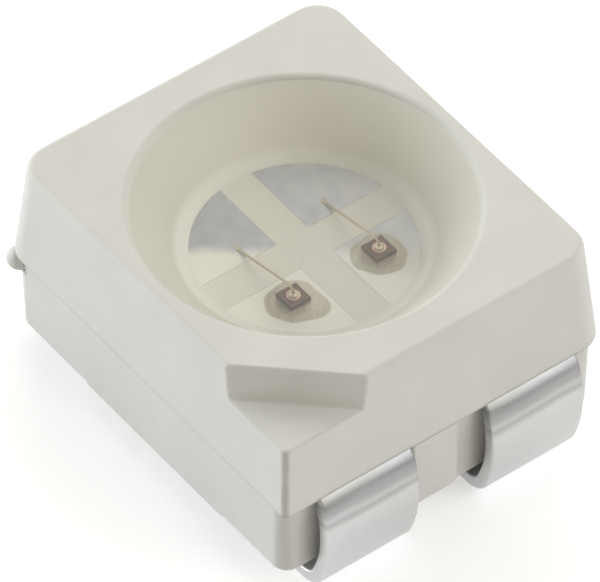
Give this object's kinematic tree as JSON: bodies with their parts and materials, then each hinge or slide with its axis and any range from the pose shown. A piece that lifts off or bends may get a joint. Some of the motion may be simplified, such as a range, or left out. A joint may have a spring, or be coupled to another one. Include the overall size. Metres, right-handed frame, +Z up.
{
  "type": "surface-mount led",
  "caption": "Small white surface-mount LED with a round reflector cup, clear resin, a stepped corner mark and folded tin-plated leads.",
  "frame": {"origin": "in the solder plane, under the middle of the part's box", "axes": "+X along the leads, towards the end with the marked corner; +Y across the leads, away from the marked corner; +Z up out of the cup"},
  "size_m": [0.0034, 0.0028, 0.0018],
  "materials": {
    "white_moulding": "fine matte moulded skin",
    "tinned_sheet": "satin tin plate outside, silver plate on the pads in the cup",
    "die_glue": "dull grey-brown filled adhesive",
    "chip": "sawn dark sides",
    "gold": "soft gold",
    "clear_resin": "clear, smooth"
  },
  "bodies": {
    "root": {"housing": "white_moulding", "lead_pin_1": "tinned_sheet", "lead_pin_2": "tinned_sheet", "lead_pin_3": "tinned_sheet", "lead_pin_4": "tinned_sheet", "die_attach_1": "die_glue", "die_attach_4": "die_glue", "chip_1": "chip", "chip_4": "chip", "electrode_1": "gold", "electrode_4": "gold", "bond_wire_1": "gold", "bond_wire_4": "gold", "clear_resin": "clear_resin"}
  },
  "joints": []
}
